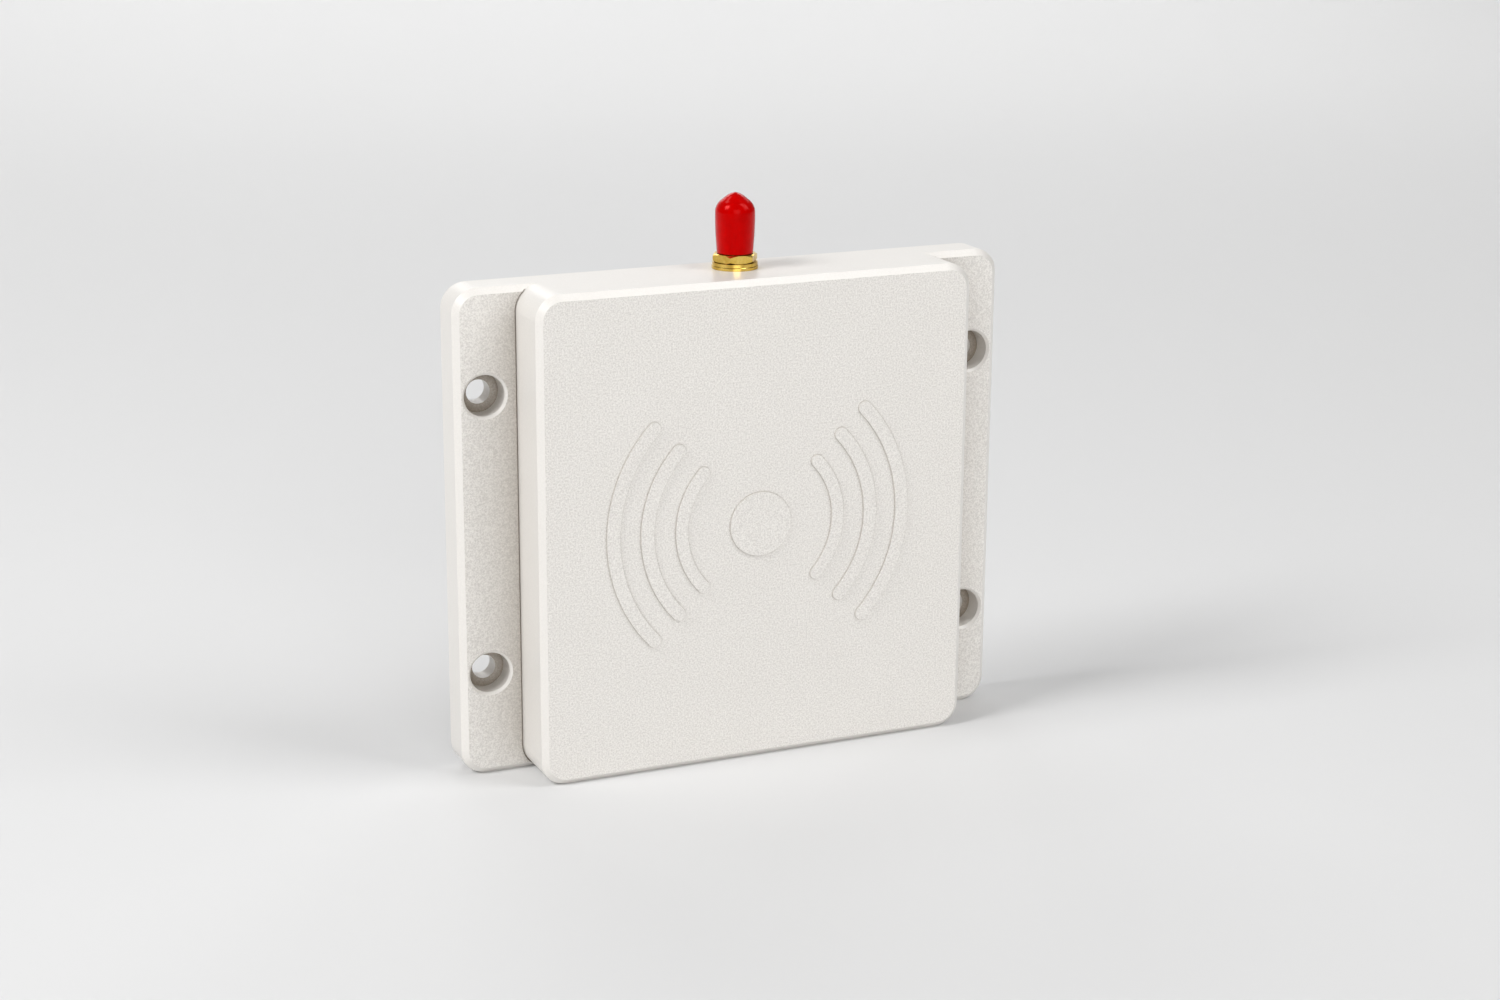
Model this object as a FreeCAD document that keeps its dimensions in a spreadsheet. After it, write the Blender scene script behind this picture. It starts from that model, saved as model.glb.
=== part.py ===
import FreeCAD, Part
import math
import os
import re
import Sketcher
from FreeCAD import Placement, Rotation, Vector

# A flat panel antenna: a moulded box with two mounting flanges, a patch radiator
# over a ground plane inside, and a coax port with a pull-off dust cap on top.
#
# The panel stands on its bottom edge: +Z is up, +X runs along its width, and its
# front looks along -Y. The origin is under the middle of its outer box.
# Every plate is drawn on its body's XZ plane, which lies on the panel's back, so a
# height above that sketch ("lift") is a distance from the back towards the front.

SIZES = {
    # housing
    "panel_width": 117.0,
    "panel_height": 98.0,
    "panel_depth": 20.0,
    "box_width": 92.0,
    "flange_depth": 8.0,
    "outline_radius": 5.0,
    "edge_chamfer": 1.2,
    "crease_width": 0.25,
    "crease_depth": 0.4,
    "side_wall": 2.5,
    "front_wall": 2.0,
    "inner_radius": 3.0,
    "relief_height": 0.3,
    # mounting holes in the flanges
    "mount_spacing_x": 105.0,
    "mount_spacing_z": 56.0,
    "mount_hole_diameter": 4.8,
    "counterbore_diameter": 8.2,
    "counterbore_depth": 4.4,
    "counterbore_lip": 0.5,
    "flange_core_width": 7.5,
    "flange_core_depth": 5.5,
    "flange_core_radius": 1.5,
    "hole_island_wall": 3.0,
    # pictogram on the front: a disc, and arc bands on both sides of it
    "disc_radius": 6.5,
    "band_one_inner": 15.6,
    "band_one_outer": 18.1,
    "band_two_inner": 22.7,
    "band_two_outer": 25.4,
    "band_three_inner": 29.8,
    "band_three_outer": 32.5,
    "band_half_angle": 43.5,
    # back cover, its seal and its screws
    "cover_thickness": 2.0,
    "gasket_thickness": 0.8,
    "gasket_width": 0.7,
    "rebate_width": 1.2,
    "cover_gap": 0.1,
    "corner_boss_radius": 3.5,
    "corner_boss_inset": 3.2,
    "small_screw_radius": 1.25,
    "small_hole_radius": 1.4,
    "sunk_head_radius": 2.5,
    "cover_screw_length": 10.0,
    "cover_pilot_depth": 12.0,
    "screw_tip_narrowing": 0.5,
    "screw_tip_length": 0.8,
    "cross_slot_width": 0.6,
    "cross_slot_span": 2.8,
    "sunk_cross_depth": 0.9,
    "pan_cross_depth": 0.8,
    # ground plane
    "plane_width": 84.0,
    "plane_height": 88.0,
    "plane_thickness": 1.0,
    "plane_lift": 8.5,
    "plane_corner_cut": 7.5,
    "plane_cut_radius": 2.0,
    "plane_port_cut_width": 12.0,
    "plane_port_cut_height": 10.0,
    "plane_boss_radius": 3.0,
    "plane_boss_spacing_x": 62.0,
    "plane_boss_spacing_z": 72.0,
    "plane_screw_length": 7.0,
    "pan_head_radius": 2.4,
    "pan_head_height": 1.5,
    "pan_head_side_share": 0.55,
    "pan_head_top_share": 0.72,
    # patch radiator and what holds it
    "patch_width": 58.0,
    "patch_height": 52.0,
    "patch_thickness": 0.8,
    "patch_gap": 5.0,
    "patch_corner": 1.5,
    "spacer_spacing": 38.0,
    "spacer_radius": 2.6,
    "nylon_screw_radius": 1.25,
    "nylon_hole_radius": 1.35,
    "nylon_head_radius": 2.5,
    "nylon_head_height": 1.7,
    "nylon_nut_flats": 5.0,
    "nylon_nut_height": 2.0,
    "nylon_screw_end": 0.3,
    "rivet_shank_radius": 1.5,
    "rivet_post_radius": 2.5,
    "rivet_head_radius": 2.6,
    "rivet_head_height": 0.8,
    "rivet_top_radius": 1.6,
    "rivet_side_height": 0.25,
    # feed
    "feed_offset": 17.0,
    "feed_pin_radius": 0.65,
    "feed_pin_proud": 0.6,
    "feed_pin_back": 2.6,
    "feed_bush_radius": 2.05,
    "feed_bush_flange_radius": 2.8,
    "feed_bush_flange_height": 0.6,
    "solder_radius": 1.7,
    "solder_height": 0.5,
    "solder_top_radius": 0.9,
    "braid_solder_width": 3.6,
    "braid_solder_length": 3.0,
    "braid_solder_rise": 0.55,
    # coax lead
    "cable_radius": 0.9,
    "core_radius": 0.45,
    "wire_radius": 0.2,
    "cable_swing": 9.0,
    "lead_first_drop": 7.0,
    "lead_swing_drop": 16.0,
    "lead_return_rise": 16.0,
    "lead_last_rise": 6.0,
    "bared_length": 4.5,
    "bared_core_share": 0.6,
    "clip_width": 5.0,
    "clip_wall": 0.8,
    "clip_foot": 2.2,
    # port
    "port_from_front": 13.2,
    "port_hole_radius": 3.3,
    "port_flat_clearance": 0.1,
    "barrel_radius": 3.175,
    "barrel_length": 13.0,
    "barrel_flat": 2.85,
    "barrel_lead": 0.35,
    "thread_pitch": 0.7056,
    "thread_depth": 0.36,
    "thread_start": 6.2,
    "thread_groove_share": 0.9,
    "thread_grooves": 9,
    "cutting_allowance": 0.05,
    "mouth_radius": 2.3,
    "mouth_depth": 1.9,
    "insulator_radius": 2.05,
    "contact_radius": 0.635,
    "contact_bore": 0.45,
    "contact_bore_depth": 3.0,
    "contact_slit": 0.2,
    "contact_slit_depth": 2.4,
    "port_flange_radius": 4.6,
    "port_flange_height": 1.5,
    "port_hex_flats": 8.0,
    "port_hex_height": 1.5,
    "port_neck_radius": 3.0,
    "port_neck_height": 2.0,
    "port_stem_height": 4.0,
    "seal_ring_radius": 3.85,
    "seal_cord_radius": 0.4,
    "ferrule_radius": 1.4,
    "ferrule_length": 6.3,
    # washers and nut on top
    "washer_radius": 4.6,
    "washer_hole_radius": 3.3,
    "flat_washer_height": 0.65,
    "washer_chamfer": 0.12,
    "lock_washer_height": 0.65,
    "lock_washer_radius": 4.5,
    "notch_depth": 0.55,
    "notch_width": 0.7,
    "notch_count": 12,
    "nut_flats": 8.0,
    "nut_height": 1.65,
    "nut_bevel": 0.42,
    "nut_turn": -5.5,
    # dust cap
    "cap_gap": 0.1,
    "cap_bore": 3.225,
    "cap_mouth_radius": 3.6,
    "cap_waist_height": 4.8,
    "cap_radius": 3.95,
    "cap_shoulder_height": 9.35,
    "cap_tip_radius": 1.05,
    "cap_tip_height": 11.55,
    "cap_height": 12.0,
    "cap_bore_height": 7.8,
    "cap_dome_radius": 1.2,
    "cap_dome_height": 9.5,
    "cap_shoulder_round": 2.6,
    "cap_tip_round": 2.6,
}

doc = FreeCAD.newDocument("PanelAntenna")
sheet = doc.addObject("Spreadsheet::Sheet", "Sizes")
for row, (alias, value) in enumerate(SIZES.items(), start=1):
    sheet.set(f"A{row}", alias)
    sheet.set(f"B{row}", str(value))
    sheet.setAlias(f"B{row}", alias)
doc.recompute()

# Heights above the back that several pieces share.
GROUND_FRONT = "(plane_lift + plane_thickness)"
PATCH_BACK = "(plane_lift + plane_thickness + patch_gap)"
PATCH_FRONT = "(plane_lift + plane_thickness + patch_gap + patch_thickness)"
INNER_FRONT = "(panel_depth - front_wall)"
BACK_FACE = "(panel_depth + relief_height) / 2"
PORT_AXIS = "(panel_depth - port_from_front)"
WALL_INSIDE = "(panel_height - side_wall)"
MIDDLE = "panel_height / 2"
NUT_TOP = "(panel_height + flat_washer_height + lock_washer_height + nut_height)"


def full(formula):
    """Write the sheet's name before every alias in a formula."""
    def prefix(match):
        word = match.group()
        return "Sizes." + word if word in SIZES else word
    return re.sub(r"[a-z_]+", prefix, formula)


def number(formula):
    """The present value of a formula."""
    result = sheet.evalExpression(full(formula))
    return float(getattr(result, "Value", result))


def bind(target, path, formula):
    target.setExpression(path, full(formula))


def new_body(label, x="0", y=BACK_FACE, z="0"):
    body = doc.addObject("PartDesign::Body", label)
    body.Label = label
    bind(body, "Placement.Base.x", x)
    bind(body, "Placement.Base.y", y)
    bind(body, "Placement.Base.z", z)
    return body


def new_sketch(body, role="XZ_Plane", x="0", y="0", lift="0"):
    """A sketch on one of the body's own planes, with its origin at (x, y, lift)."""
    sketch = body.newObject("Sketcher::SketchObject", "Sketch")
    plane = next(item for item in body.Origin.OriginFeatures if item.Role == role)
    sketch.AttachmentSupport = [(plane, "")]
    sketch.MapMode = "FlatFace"
    bind(sketch, "AttachmentOffset.Base.x", x)
    bind(sketch, "AttachmentOffset.Base.y", y)
    bind(sketch, "AttachmentOffset.Base.z", lift)
    return sketch


def size_rule(sketch, kind, *references, formula):
    """Add a dimension to a sketch and bind it to a formula."""
    index = sketch.addConstraint(Sketcher.Constraint(kind, *references, number(formula)))
    name = f"size{index}"
    sketch.renameConstraint(index, name)
    bind(sketch, f"Constraints.{name}", formula)


def add_circle(sketch, radius):
    index = sketch.addGeometry(Part.Circle(Vector(), Vector(0, 0, 1), number(radius)))
    sketch.addConstraint(Sketcher.Constraint("Coincident", index, 3, -1, 1))
    size_rule(sketch, "Radius", index, formula=radius)


def add_line(sketch, start, end):
    return sketch.addGeometry(Part.LineSegment(Vector(*start), Vector(*end)))


def add_rectangle(sketch, width, height):
    """A rectangle round the sketch's origin."""
    half_x = number(width) / 2
    half_y = number(height) / 2
    corners = [(-half_x, -half_y, 0), (half_x, -half_y, 0), (half_x, half_y, 0), (-half_x, half_y, 0)]
    sides = [add_line(sketch, corners[i], corners[(i + 1) % 4]) for i in range(4)]
    for i in range(4):
        sketch.addConstraint(Sketcher.Constraint("Coincident", sides[i], 2, sides[(i + 1) % 4], 1))
    for i in (0, 2):
        sketch.addConstraint(Sketcher.Constraint("Horizontal", sides[i]))
        sketch.addConstraint(Sketcher.Constraint("Vertical", sides[i + 1]))
    sketch.addConstraint(Sketcher.Constraint("Symmetric", sides[0], 1, sides[2], 1, -1, 1))
    size_rule(sketch, "DistanceX", sides[0], 1, sides[0], 2, formula=width)
    size_rule(sketch, "DistanceY", sides[1], 1, sides[1], 2, formula=height)


def add_rounded_rectangle(sketch, width, height, radius):
    """A rectangle round the sketch's origin with four equal corner arcs."""
    r = number(radius)
    x = number(width) / 2 - r
    y = number(height) / 2 - r
    quarter = math.pi / 2
    centres = [(x, -y), (x, y), (-x, y), (-x, -y)]
    ends = [((-x, -y - r), (x, -y - r)), ((x + r, -y), (x + r, y)),
            ((x, y + r), (-x, y + r)), ((-x - r, y), (-x - r, -y))]
    lines = []
    arcs = []
    for i in range(4):
        lines.append(add_line(sketch, (*ends[i][0], 0), (*ends[i][1], 0)))
        circle = Part.Circle(Vector(*centres[i], 0), Vector(0, 0, 1), r)
        arc = Part.ArcOfCircle(circle, (i - 1) * quarter, i * quarter)
        arcs.append(sketch.addGeometry(arc))
    for i in range(4):
        sketch.addConstraint(Sketcher.Constraint("Tangent", lines[i], 2, arcs[i], 1))
        sketch.addConstraint(Sketcher.Constraint("Tangent", arcs[i], 2, lines[(i + 1) % 4], 1))
    for i in (0, 2):
        sketch.addConstraint(Sketcher.Constraint("Horizontal", lines[i]))
        sketch.addConstraint(Sketcher.Constraint("Vertical", lines[i + 1]))
    for i in (1, 2, 3):
        sketch.addConstraint(Sketcher.Constraint("Equal", arcs[0], arcs[i]))
    sketch.addConstraint(Sketcher.Constraint("Symmetric", arcs[0], 3, arcs[2], 3, -1, 1))
    size_rule(sketch, "DistanceX", lines[3], 1, lines[1], 1, formula=width)
    size_rule(sketch, "DistanceY", lines[0], 1, lines[2], 2, formula=height)
    size_rule(sketch, "Radius", arcs[0], formula=radius)


def add_hexagon(sketch, flats):
    """A hexagon round the sketch's origin, with a corner on its X axis."""
    corner = number(flats) / math.sqrt(3)
    points = [Vector(corner * math.cos(math.radians(60 * i)), corner * math.sin(math.radians(60 * i)), 0)
              for i in range(6)]
    sides = [sketch.addGeometry(Part.LineSegment(points[i], points[(i + 1) % 6])) for i in range(6)]
    ring = sketch.addGeometry(Part.Circle(Vector(), Vector(0, 0, 1), corner), True)
    sketch.addConstraint(Sketcher.Constraint("Coincident", ring, 3, -1, 1))
    for i in range(6):
        sketch.addConstraint(Sketcher.Constraint("Coincident", sides[i], 2, sides[(i + 1) % 6], 1))
        sketch.addConstraint(Sketcher.Constraint("PointOnObject", sides[i], 1, ring))
    for i in range(1, 6):
        sketch.addConstraint(Sketcher.Constraint("Equal", sides[0], sides[i]))
    sketch.addConstraint(Sketcher.Constraint("PointOnObject", sides[0], 1, -1))
    size_rule(sketch, "Radius", ring, formula=f"({flats}) / sqrt(3)")


def add_profile(sketch, points):
    """A closed outline through points given as pairs of formulas, none of them negative."""
    corners = [Vector(number(x), number(y), 0) for x, y in points]
    count = len(corners)
    lines = [sketch.addGeometry(Part.LineSegment(corners[i], corners[(i + 1) % count])) for i in range(count)]
    for i in range(count):
        sketch.addConstraint(Sketcher.Constraint("Coincident", lines[i], 2, lines[(i + 1) % count], 1))
    for i, (x, y) in enumerate(points):
        if x == "0":
            sketch.addConstraint(Sketcher.Constraint("PointOnObject", lines[i], 1, -2))
        else:
            size_rule(sketch, "DistanceX", -1, 1, lines[i], 1, formula=x)
        if y == "0":
            sketch.addConstraint(Sketcher.Constraint("PointOnObject", lines[i], 1, -1))
        else:
            size_rule(sketch, "DistanceY", -1, 1, lines[i], 1, formula=y)


def add_band(sketch, inner, outer, half_angle, side):
    """A strip bent round the sketch's origin with round ends; side is 1 for right, -1 for left."""
    r_in = number(inner)
    r_out = number(outer)
    r_mid = (r_in + r_out) / 2
    r_end = (r_out - r_in) / 2
    turn = math.radians(number(half_angle))
    facing = 0 if side > 0 else math.pi
    axis = Vector(0, 0, 1)
    low = facing - turn
    high = facing + turn

    def end_centre(angle):
        return Vector(r_mid * math.cos(angle), r_mid * math.sin(angle), 0)

    outer_arc = sketch.addGeometry(Part.ArcOfCircle(Part.Circle(Vector(), axis, r_out), low, high))
    inner_arc = sketch.addGeometry(Part.ArcOfCircle(Part.Circle(Vector(), axis, r_in), low, high))
    high_cap = sketch.addGeometry(
        Part.ArcOfCircle(Part.Circle(end_centre(high), axis, r_end), high, high + math.pi))
    low_cap = sketch.addGeometry(
        Part.ArcOfCircle(Part.Circle(end_centre(low), axis, r_end), low + math.pi, low + 2 * math.pi))
    sketch.addConstraint(Sketcher.Constraint("Coincident", outer_arc, 3, -1, 1))
    sketch.addConstraint(Sketcher.Constraint("Coincident", inner_arc, 3, -1, 1))
    sketch.addConstraint(Sketcher.Constraint("Tangent", outer_arc, 2, high_cap, 1))
    sketch.addConstraint(Sketcher.Constraint("Tangent", high_cap, 2, inner_arc, 2))
    sketch.addConstraint(Sketcher.Constraint("Tangent", inner_arc, 1, low_cap, 1))
    sketch.addConstraint(Sketcher.Constraint("Tangent", low_cap, 2, outer_arc, 1))
    size_rule(sketch, "Radius", outer_arc, formula=outer)
    size_rule(sketch, "Radius", inner_arc, formula=inner)
    rise = f"({inner} + {outer}) / 2 * sin({half_angle} * 1 deg)"
    upper = high_cap if side > 0 else low_cap
    lower = low_cap if side > 0 else high_cap
    size_rule(sketch, "DistanceY", -1, 1, upper, 3, formula=rise)
    size_rule(sketch, "DistanceY", lower, 3, -1, 1, formula=rise)


def pad(body, sketch, length, downwards=False):
    feature = body.newObject("PartDesign::Pad", "Pad")
    feature.Profile = sketch
    feature.Reversed = downwards
    bind(feature, "Length", length)
    doc.recompute()
    return feature


def pocket(body, sketch, length, upwards=False):
    """Cut below the sketch, or above it where upwards is true; it has to remove something."""
    before = body.Shape.Volume
    feature = body.newObject("PartDesign::Pocket", "Pocket")
    feature.Profile = sketch
    feature.Reversed = upwards
    bind(feature, "Length", length)
    doc.recompute()
    if not feature.Shape.Volume < before:
        raise RuntimeError(f"{body.Label}: a pocket cut nothing")
    return feature


def revolve(body, sketch, kind="PartDesign::Revolution"):
    """Turn a sketch a full circle about its own vertical axis."""
    feature = body.newObject(kind, "Turned")
    feature.Profile = sketch
    feature.ReferenceAxis = (sketch, ["V_Axis"])
    feature.Angle = 360
    doc.recompute()
    return feature


def edge_names(shape, wanted):
    return [f"Edge{i}" for i, edge in enumerate(shape.Edges, start=1) if wanted(edge)]


def dress(body, kind, wanted, formula):
    """Chamfer or fillet the edges of the body's last feature that pass the test."""
    base = body.Tip
    names = edge_names(base.Shape, wanted)
    if not names:
        raise RuntimeError(f"{body.Label}: no edge to dress")
    feature = body.newObject(f"PartDesign::{kind}", kind)
    feature.Base = (base, names)
    bind(feature, "Size" if kind == "Chamfer" else "Radius", formula)
    doc.recompute()
    return feature


def on_level(axis, level):
    """An edge test: the whole edge lies at one value of a coordinate, as on a face's rim."""
    def test(edge):
        box = edge.BoundBox
        low = getattr(box, axis + "Min")
        high = getattr(box, axis + "Max")
        return abs(low - level) < 1e-4 and abs(high - level) < 1e-4
    return test


def is_ring(radius, axis, level):
    """An edge test: a full circle of this radius at one value of a coordinate."""
    flat = on_level(axis, level)

    def test(edge):
        return (isinstance(edge.Curve, Part.Circle) and flat(edge)
                and abs(edge.Curve.Radius - radius) < 1e-4)
    return test


def grid(spacing_x, spacing_z):
    """Four places round the panel's middle, as pairs of formulas."""
    return [(f"{sx} * ({spacing_x}) / 2", f"{MIDDLE} + {sz} * ({spacing_z}) / 2")
            for sx in (-1, 1) for sz in (-1, 1)]


MOUNT_PLACES = grid("mount_spacing_x", "mount_spacing_z")
CORNER_PLACES = grid("box_width - 2 * side_wall - 2 * corner_boss_inset",
                     "panel_height - 2 * side_wall - 2 * corner_boss_inset")
PLANE_BOSS_PLACES = grid("plane_boss_spacing_x", "plane_boss_spacing_z")
SPACER_PLACES = grid("spacer_spacing", "spacer_spacing")
FEED_HEIGHT = f"({MIDDLE} - feed_offset)"


def group(label, pieces):
    """One node that holds several equal pieces as separate solids."""
    compound = doc.addObject("Part::Compound", label)
    compound.Label = label
    compound.Links = pieces
    return compound


# ---------------------------------------------------------------- housing

def make_front_housing():
    """One moulding: flanges and box, hollow from the back, with its bosses and pictogram."""
    body = new_body("front_housing")
    outline = new_sketch(body, y=MIDDLE)
    add_rounded_rectangle(outline, "panel_width", "panel_height", "outline_radius")
    pad(body, outline, "flange_depth")
    dress(body, "Chamfer", on_level("Y", -number("flange_depth")), "edge_chamfer")

    crease = new_sketch(body, y=MIDDLE, lift="flange_depth")
    add_rounded_rectangle(crease, "box_width + 2 * crease_width", "panel_height + 2 * crease_width",
                          "outline_radius + crease_width")
    pocket(body, crease, "crease_depth")
    box = new_sketch(body, y=MIDDLE)
    add_rounded_rectangle(box, "box_width", "panel_height", "outline_radius")
    pad(body, box, "panel_depth")
    dress(body, "Chamfer", on_level("Y", -number("panel_depth")), "edge_chamfer")

    pictogram = new_sketch(body, y=MIDDLE, lift="panel_depth")
    add_circle(pictogram, "disc_radius")
    for ring in ("one", "two", "three"):
        for side in (-1, 1):
            add_band(pictogram, f"band_{ring}_inner", f"band_{ring}_outer", "band_half_angle", side)
    pad(body, pictogram, "relief_height")

    cavity = new_sketch(body, y=MIDDLE)
    add_rounded_rectangle(cavity, "box_width - 2 * side_wall", "panel_height - 2 * side_wall", "inner_radius")
    pocket(body, cavity, INNER_FRONT, upwards=True)
    rebate = new_sketch(body, y=MIDDLE)
    add_rounded_rectangle(rebate, "box_width - 2 * side_wall + 2 * rebate_width",
                          "panel_height - 2 * side_wall + 2 * rebate_width",
                          "inner_radius + rebate_width")
    pocket(body, rebate, "cover_thickness + gasket_thickness", upwards=True)

    for x, z in CORNER_PLACES:
        boss = new_sketch(body, x=x, y=z, lift="cover_thickness")
        add_circle(boss, "corner_boss_radius")
        pad(body, boss, f"{INNER_FRONT} - cover_thickness")
        pilot = new_sketch(body, x=x, y=z, lift="cover_thickness")
        add_circle(pilot, "small_screw_radius")
        pocket(body, pilot, "cover_pilot_depth", upwards=True)
    for x, z in PLANE_BOSS_PLACES:
        boss = new_sketch(body, x=x, y=z, lift=GROUND_FRONT)
        add_circle(boss, "plane_boss_radius")
        pad(body, boss, f"{INNER_FRONT} - {GROUND_FRONT}")
        pilot = new_sketch(body, x=x, y=z, lift=GROUND_FRONT)
        add_circle(pilot, "small_screw_radius")
        pocket(body, pilot, "plane_screw_length", upwards=True)

    for x, z in MOUNT_PLACES:
        through = new_sketch(body, x=x, y=z)
        add_circle(through, "mount_hole_diameter / 2")
        pocket(body, through, "flange_depth", upwards=True)
        bore = new_sketch(body, x=x, y=z, lift="flange_depth")
        add_circle(bore, "counterbore_diameter / 2")
        pocket(body, bore, "counterbore_depth")
    dress(body, "Chamfer", is_ring(number("counterbore_diameter / 2"), "Y", -number("flange_depth")),
          "counterbore_lip")
    core_flanges(body)
    cut_port_hole(body)
    return body


def core_flanges(body):
    """Hollow the flanges from behind between and beyond their holes, as thick mouldings are."""
    island = "(counterbore_diameter + 2 * hole_island_wall)"
    middle_length = f"(mount_spacing_z - {island})"
    edge_length = f"((panel_height - mount_spacing_z - {island}) / 2 - side_wall)"
    edge_offset = f"(mount_spacing_z / 2 + {island} / 2 + {edge_length} / 2)"
    for side in (-1, 1):
        for offset, length in (("0", middle_length), (f"0 - {edge_offset}", edge_length),
                               (edge_offset, edge_length)):
            core = new_sketch(body, x=f"{side} * mount_spacing_x / 2", y=f"{MIDDLE} + {offset}")
            add_rounded_rectangle(core, "flange_core_width", length, "flange_core_radius")
            pocket(body, core, "flange_core_depth", upwards=True)


def cut_port_hole(body):
    """The hole for the port in the top wall, with a flat that stops the port turning."""
    hole = new_sketch(body, "XY_Plane", y=f"0 - {PORT_AXIS}", lift=WALL_INSIDE)
    radius = number("port_hole_radius")
    flat = number("barrel_flat + port_flat_clearance")
    half = math.acos(flat / radius)
    arc = hole.addGeometry(Part.ArcOfCircle(Part.Circle(Vector(), Vector(0, 0, 1), radius),
                                            -math.pi / 2 + half, 1.5 * math.pi - half))
    side = radius * math.sin(half)
    chord = add_line(hole, (-side, -flat, 0), (side, -flat, 0))
    hole.addConstraint(Sketcher.Constraint("Coincident", arc, 3, -1, 1))
    hole.addConstraint(Sketcher.Constraint("Coincident", arc, 1, chord, 2))
    hole.addConstraint(Sketcher.Constraint("Coincident", arc, 2, chord, 1))
    hole.addConstraint(Sketcher.Constraint("Horizontal", chord))
    size_rule(hole, "Radius", arc, formula="port_hole_radius")
    size_rule(hole, "DistanceY", chord, 1, -1, 1, formula="barrel_flat + port_flat_clearance")
    pocket(body, hole, "side_wall", upwards=True)


def make_back_cover():
    """A flat plate let into the back, with a countersunk hole at each corner."""
    body = new_body("back_cover")
    plate = new_sketch(body, y=MIDDLE)
    shrink = "2 * side_wall - 2 * rebate_width + 2 * cover_gap"
    add_rounded_rectangle(plate, f"box_width - ({shrink})", f"panel_height - ({shrink})",
                          "inner_radius + rebate_width - cover_gap")
    pad(body, plate, "cover_thickness")
    for x, z in CORNER_PLACES:
        hole = new_sketch(body, x=x, y=z)
        add_circle(hole, "small_hole_radius")
        pocket(body, hole, "cover_thickness", upwards=True)
    dress(body, "Chamfer", is_ring(number("small_hole_radius"), "Y", 0.0),
          "sunk_head_radius - small_hole_radius + cover_gap")
    return body


def make_back_gasket():
    """A flat rubber frame between the cover and the ledge of the housing."""
    body = new_body("back_gasket")
    ring = new_sketch(body, y=MIDDLE, lift="cover_thickness")
    shrink = "2 * side_wall - 2 * rebate_width + 2 * cover_gap"
    add_rounded_rectangle(ring, f"box_width - ({shrink})", f"panel_height - ({shrink})",
                          "inner_radius + rebate_width - cover_gap")
    add_rounded_rectangle(ring, f"box_width - ({shrink}) - 2 * gasket_width",
                          f"panel_height - ({shrink}) - 2 * gasket_width",
                          "inner_radius + rebate_width - cover_gap - gasket_width")
    pad(body, ring, "gasket_thickness")
    return body


# ---------------------------------------------------------------- screws

def cut_cross(body, level, depth):
    """The cross recess of a screw head whose flat top is at this level on the body's Z axis."""
    for width_x, width_y in (("cross_slot_width", "cross_slot_span"), ("cross_slot_span", "cross_slot_width")):
        slot = new_sketch(body, "XY_Plane", lift=level)
        add_rectangle(slot, width_x, width_y)
        pocket(body, slot, depth)


def point_forward(body):
    """Turn a screw drawn with its head up (+Z) so that its head is at the panel's back (+Y)."""
    body.Placement = Placement(body.Placement.Base, Rotation(Vector(1, 0, 0), -90))


def make_cover_screw(label, x, z):
    """A countersunk screw; its flat head is flush with the back of the cover."""
    body = new_body(label, x=x, z=z)
    length = "cover_screw_length"
    cone = "(sunk_head_radius - small_screw_radius)"
    profile = new_sketch(body, y=f"0 - {length}")
    add_profile(profile, [("0", "0"), ("small_screw_radius - screw_tip_narrowing", "0"),
                          ("small_screw_radius", "screw_tip_length"),
                          ("small_screw_radius", f"{length} - {cone}"), ("sunk_head_radius", length),
                          ("0", length)])
    revolve(body, profile)
    cut_cross(body, "0", "sunk_cross_depth")
    point_forward(body)
    return body


def make_pan_screw(label, x, y, z, length, radius, head_radius, head_height):
    """A pan-head screw; the underside of its head is at the body's origin."""
    body = new_body(label, x=x, y=y, z=z)
    profile = new_sketch(body, y=f"0 - {length}")
    add_profile(profile, [("0", "0"), (f"{radius} - screw_tip_narrowing", "0"), (radius, "screw_tip_length"),
                          (radius, length), (head_radius, length),
                          (head_radius, f"{length} + {head_height} * pan_head_side_share"),
                          (f"{head_radius} * pan_head_top_share", f"{length} + {head_height}"),
                          ("0", f"{length} + {head_height}")])
    revolve(body, profile)
    cut_cross(body, head_height, "pan_cross_depth")
    return body


def make_cover_screws():
    screws = [make_cover_screw(f"cover_screw_{i}", x, z) for i, (x, z) in enumerate(CORNER_PLACES, start=1)]
    return group("cover_screws", screws)


def make_ground_plane_screws():
    screws = []
    for i, (x, z) in enumerate(PLANE_BOSS_PLACES, start=1):
        screw = make_pan_screw(f"ground_plane_screw_{i}", x, f"{BACK_FACE} - plane_lift", z,
                               "plane_screw_length", "small_screw_radius",
                               "pan_head_radius", "pan_head_height")
        point_forward(screw)
        screws.append(screw)
    return group("ground_plane_screws", screws)


# ---------------------------------------------------------------- radiator

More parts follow.
